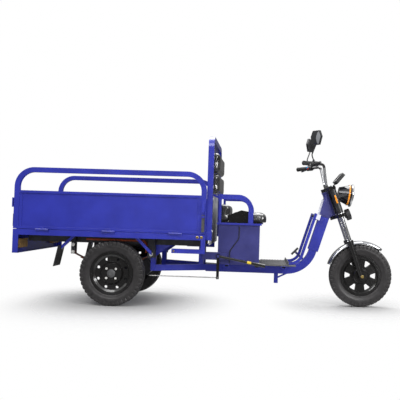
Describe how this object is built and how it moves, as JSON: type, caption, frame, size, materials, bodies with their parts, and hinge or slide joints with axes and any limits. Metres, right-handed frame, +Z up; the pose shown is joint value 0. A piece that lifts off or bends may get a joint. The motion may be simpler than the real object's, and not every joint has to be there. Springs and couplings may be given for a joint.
{
  "type": "cargo tricycle",
  "caption": "Electric cargo tricycle with a drop-side bed, a headboard with back pads, a seat over a battery box, a motorcycle-type fork and a handlebar.",
  "frame": {"origin": "on the ground, under the middle of the whole tricycle's length and width", "axes": "+X forward to the front wheel, +Y to the driver's left, +Z up"},
  "size_m": [3.0749, 1.068, 1.4454],
  "materials": {
    "blue_paint": "gloss",
    "dark_blue_paint": "gloss",
    "black_paint": "satin",
    "grey_paint": "satin",
    "bare_steel": "zinc plated",
    "chrome": "polished",
    "aluminium": "cast",
    "tyre": "matte",
    "rubber": "matte",
    "vinyl": "smooth vinyl",
    "black_plastic": "fine grain",
    "red_plastic": "gloss",
    "clear_lens": "clear"
  },
  "bodies": {
    "chassis": {"main_tube": "blue_paint", "subframe": "dark_blue_paint", "chassis_rails": "black_paint", "head_tube": "blue_paint", "leg_guard": "blue_paint", "foot_mat": "rubber", "seat_box": "dark_blue_paint", "power_pack": "black_plastic", "armrests": "blue_paint", "headboard_frame": "blue_paint", "headboard_panels": "grey_paint", "back_pad_upper": "vinyl", "back_pad_lower": "vinyl", "bed_frame": "blue_paint", "bed_floor": "grey_paint", "bed_brackets": "blue_paint", "hinges": "bare_steel", "tail_panel": "blue_paint", "tail_lamps": "red_plastic", "mudflaps": "rubber", "leaf_springs": "grey_paint", "cables": "rubber"},
    "drop_side_right": {"side_gate_right": "blue_paint"},
    "drop_side_left": {"side_gate_left": "blue_paint"},
    "tailgate_body": {"tailgate": "blue_paint"},
    "front_latch_right": {"side_latch_right": "bare_steel"},
    "front_latch_left": {"side_latch_left": "bare_steel"},
    "rear_latch_right": {"tail_latch_right": "black_paint"},
    "rear_latch_left": {"tail_latch_left": "black_paint"},
    "seat": {"seat_pan": "black_paint", "seat_cushion": "vinyl", "seat_low_back": "vinyl"},
    "parking_brake": {"parking_lever": "black_paint"},
    "parking_link": {"parking_rod": "bare_steel"},
    "pedal": {"brake_pedal": "black_paint"},
    "rear_axle": {"axle_housing": "black_paint", "drive_motor": "aluminium"},
    "wheel_rear_right": {"rear_wheel_right": "black_paint", "rear_tyre_right": "tyre"},
    "wheel_rear_left": {"rear_wheel_left": "black_paint", "rear_tyre_left": "tyre"},
    "steering": {"fork_crowns": "black_paint", "stanchions": "chrome", "fork_covers": "black_plastic", "handlebar": "chrome", "switch_pods": "black_plastic", "display": "black_plastic", "headlight_shell": "black_plastic", "headlight_lens": "clear_lens", "horn": "black_plastic"},
    "throttle": {"throttle_grip": "rubber"},
    "lever_right": {"brake_lever_right": "bare_steel"},
    "lever_left": {"brake_lever_left": "bare_steel"},
    "rear_view_right": {"mirror_right": "black_plastic"},
    "rear_view_left": {"mirror_left": "black_plastic"},
    "button": {"horn_button": "red_plastic"},
    "fork_lower": {"fork_sliders": "black_paint", "front_fender": "chrome"},
    "wheel_front": {"front_wheel": "black_paint", "front_tyre": "tyre"}
  },
  "joints": [
    {"name": "drop_side_right_swing", "type": "hinge", "parent": "chassis", "child": "drop_side_right", "pos_m": [-0.7355, -0.51, 0.584], "axis": [1, 0, 0], "range_deg": [0, 165]},
    {"name": "drop_side_left_swing", "type": "hinge", "parent": "chassis", "child": "drop_side_left", "pos_m": [-0.7355, 0.51, 0.584], "axis": [-1, 0, 0], "range_deg": [0, 165]},
    {"name": "tailgate_swing", "type": "hinge", "parent": "chassis", "child": "tailgate_body", "pos_m": [-1.5135, 0, 0.584], "axis": [0, -1, 0], "range_deg": [0, 165]},
    {"name": "front_latch_right_turn", "type": "hinge", "parent": "drop_side_right", "child": "front_latch_right", "pos_m": [-0.0235, -0.5, 0.72], "axis": [0, -1, 0], "range_deg": [0, 90]},
    {"name": "front_latch_left_turn", "type": "hinge", "parent": "drop_side_left", "child": "front_latch_left", "pos_m": [-0.0235, 0.5, 0.72], "axis": [0, -1, 0], "range_deg": [0, 90]},
    {"name": "rear_latch_right_turn", "type": "hinge", "parent": "tailgate_body", "child": "rear_latch_right", "pos_m": [-1.5035, -0.445, 0.72], "axis": [1, 0, 0], "range_deg": [0, 90]},
    {"name": "rear_latch_left_turn", "type": "hinge", "parent": "tailgate_body", "child": "rear_latch_left", "pos_m": [-1.5035, 0.445, 0.72], "axis": [-1, 0, 0], "range_deg": [0, 90]},
    {"name": "seat_tilt", "type": "hinge", "parent": "chassis", "child": "seat", "pos_m": [0.436, 0, 0.678], "axis": [0, 1, 0], "range_deg": [0, 70]},
    {"name": "parking_brake_pull", "type": "hinge", "parent": "chassis", "child": "parking_brake", "pos_m": [0.0875, -0.314, 0.409], "axis": [0, -1, 0], "range_deg": [0, 28]},
    {"name": "parking_rod_pivot", "type": "hinge", "parent": "parking_brake", "child": "parking_link", "pos_m": [0.0875, -0.314, 0.236], "axis": [0, -1, 0], "range_deg": [-28, 0]},
    {"name": "brake_pedal_press", "type": "hinge", "parent": "chassis", "child": "pedal", "pos_m": [0.7695, -0.096, 0.4], "axis": [0, 1, 0], "range_deg": [0, 22], "stiffness_Nm_per_rad": 6, "springref_deg": -11.46},
    {"name": "rear_suspension", "type": "slide", "parent": "chassis", "child": "rear_axle", "axis": [0, 0, 1], "range_m": [0, 0.045], "stiffness_N_per_m": 60000, "springref_m": -0.03, "deforming": ["leaf_springs"]},
    {"name": "rear_wheel_right_spin", "type": "hinge", "parent": "rear_axle", "child": "wheel_rear_right", "pos_m": [-0.7355, -0.405, 0.256], "axis": [0, 1, 0], "continuous": true},
    {"name": "rear_wheel_left_spin", "type": "hinge", "parent": "rear_axle", "child": "wheel_rear_left", "pos_m": [-0.7355, 0.405, 0.256], "axis": [0, 1, 0], "continuous": true},
    {"name": "steering_turn", "type": "hinge", "parent": "chassis", "child": "steering", "pos_m": [1.00076, 0, 0.84551], "axis": [-0.342, 0, 0.9397], "range_deg": [-38, 38]},
    {"name": "throttle_twist", "type": "hinge", "parent": "steering", "child": "throttle", "pos_m": [0.78808, -0.28671, 1.17569], "axis": [-0.6691, -0.7424, -0.0344], "range_deg": [0, 65], "stiffness_Nm_per_rad": 0.3, "springref_deg": -17.19},
    {"name": "brake_lever_right_pull", "type": "hinge", "parent": "steering", "child": "lever_right", "pos_m": [0.88467, -0.256, 1.19244], "axis": [0.342, 0, -0.9397], "range_deg": [0, 9], "stiffness_Nm_per_rad": 4, "springref_deg": -5.73},
    {"name": "brake_lever_left_pull", "type": "hinge", "parent": "steering", "child": "lever_left", "pos_m": [0.88467, 0.256, 1.19244], "axis": [-0.342, 0, 0.9397], "range_deg": [0, 9], "stiffness_Nm_per_rad": 4, "springref_deg": -5.73},
    {"name": "mirror_right_turn", "type": "hinge", "parent": "steering", "child": "rear_view_right", "pos_m": [0.83499, -0.22138, 1.2116], "axis": [-0.342, 0, 0.9397], "range_deg": [-35, 35]},
    {"name": "mirror_left_turn", "type": "hinge", "parent": "steering", "child": "rear_view_left", "pos_m": [0.83499, 0.22138, 1.2116], "axis": [-0.342, 0, 0.9397], "range_deg": [-35, 35]},
    {"name": "horn_button_press", "type": "slide", "parent": "steering", "child": "button", "axis": [0.7115, 0.6532, 0.259], "range_m": [0, 0.003], "stiffness_N_per_m": 400, "springref_m": -0.002},
    {"name": "fork_travel", "type": "slide", "parent": "steering", "child": "fork_lower", "axis": [-0.342, 0, 0.9397], "range_m": [0, 0.06], "stiffness_N_per_m": 20000, "springref_m": -0.05},
    {"name": "front_wheel_spin", "type": "hinge", "parent": "fork_lower", "child": "wheel_front", "pos_m": [1.2745, 0, 0.263], "axis": [0, 1, 0], "continuous": true}
  ],
  "couplings": [
    {"joint": "parking_rod_pivot", "follows": "parking_brake_pull", "ratio": -1}
  ]
}
